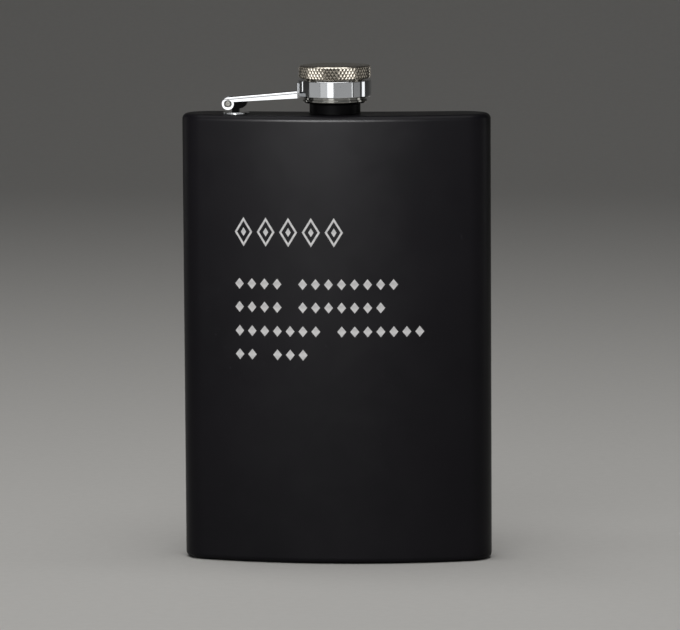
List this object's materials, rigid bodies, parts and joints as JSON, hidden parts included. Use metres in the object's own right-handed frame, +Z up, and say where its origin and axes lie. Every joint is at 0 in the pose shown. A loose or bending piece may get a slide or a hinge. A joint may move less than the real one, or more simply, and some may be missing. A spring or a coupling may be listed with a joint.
{
  "type": "hip flask",
  "caption": "Curved sheet-steel hip flask in satin black with a short threaded neck and a knurled captive cap, carried in a chrome sleeve on a hinged arm that swings it clear of the mouth.",
  "frame": {"origin": "middle of the base plate, on the surface the flask stands on", "axes": "+Z up towards the cap, -Y out of the crowned front, +X to the right seen from the front, so the hinge is on the -X side"},
  "size_m": [0.093, 0.0236, 0.1497],
  "materials": {
    "black_coat": "satin black coating over stainless steel sheet",
    "chrome": "mirror chrome plate",
    "nickel": "warm bright nickel plate over a diamond knurl",
    "steel": "turned stainless steel",
    "seal_rubber": "matte moulded rubber"
  },
  "bodies": {
    "flask": {"body_wrap": "black_coat", "top_plate": "black_coat", "bottom_plate": "black_coat", "neck": "black_coat", "hinge_base": "chrome", "hinge_post": "black_coat"},
    "arm": {"arm": "chrome", "hinge_pin": "steel", "sleeve": "chrome"},
    "cap": {"knob": "nickel", "ferrule": "steel", "seal": "seal_rubber", "cap_screw": "steel"}
  },
  "joints": [
    {"name": "arm_swing", "type": "hinge", "parent": "flask", "child": "arm", "pos_m": [-0.032, -0.0008, 0.1381], "axis": [0, -1, 0], "range_deg": [0, 180]},
    {"name": "cap_turn", "type": "hinge", "parent": "arm", "child": "cap", "pos_m": [0, -0.0008, 0.145], "axis": [0, 0, 1], "continuous": true}
  ]
}
